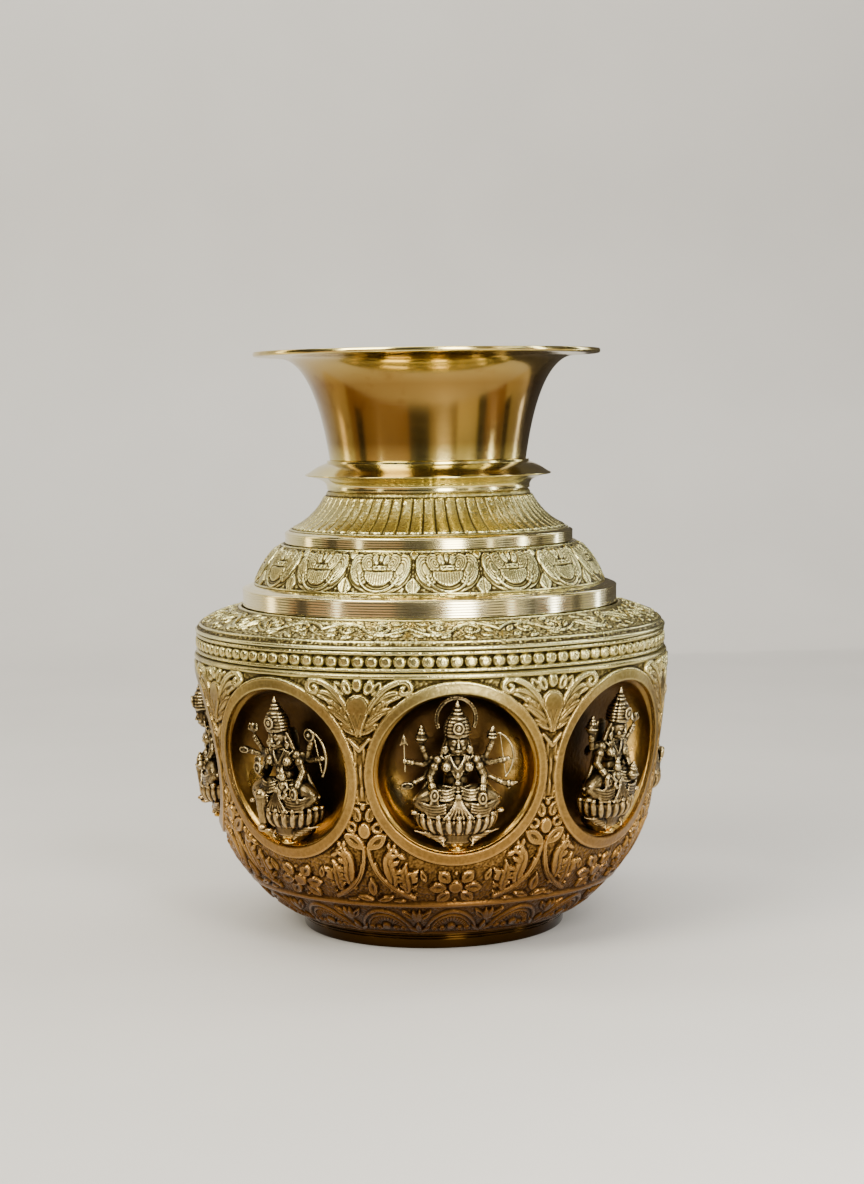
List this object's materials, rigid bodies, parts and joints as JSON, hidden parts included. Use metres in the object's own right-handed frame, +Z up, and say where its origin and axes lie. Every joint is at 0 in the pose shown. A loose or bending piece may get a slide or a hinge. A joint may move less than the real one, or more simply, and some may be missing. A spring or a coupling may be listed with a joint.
{
  "type": "kalash pot",
  "caption": "Round-bellied brass vessel with a foot ring, stepped shoulder, narrow fluted neck, trumpet mouth and round niches holding seated figures.",
  "frame": {"origin": "centre of the foot ring's lower face, on the pot's axis", "axes": "+Z up the pot's axis to the mouth; niche 1 faces -Y"},
  "size_m": [0.1768, 0.1768, 0.2018],
  "materials": {
    "antique_brass": "cast relief, dark patina in the recesses, rubbed bright on the high points",
    "polished_brass": "turned and polished, with fine turning lines",
    "cup_brass": "bright polished",
    "figure_brass": "dark antique cast brass"
  },
  "bodies": {
    "root": {"foot_ring": "polished_brass", "belly_bowl": "antique_brass", "bead_band": "antique_brass", "shoulder_cap": "antique_brass", "lower_step_ring": "polished_brass", "roundel_dome": "antique_brass", "upper_step_ring": "polished_brass", "fluted_neck": "antique_brass", "neck_ring": "polished_brass", "mouth_trumpet": "polished_brass", "figure_pegs": "cup_brass", "niche_cup_1": "cup_brass", "niche_cup_2": "cup_brass", "niche_cup_3": "cup_brass", "niche_cup_4": "cup_brass", "niche_cup_5": "cup_brass", "niche_cup_6": "cup_brass", "niche_cup_7": "cup_brass", "niche_cup_8": "cup_brass", "figure_1": "figure_brass", "figure_2": "figure_brass", "figure_3": "figure_brass", "figure_4": "figure_brass", "figure_5": "figure_brass", "figure_6": "figure_brass", "figure_7": "figure_brass", "figure_8": "figure_brass"}
  },
  "joints": []
}
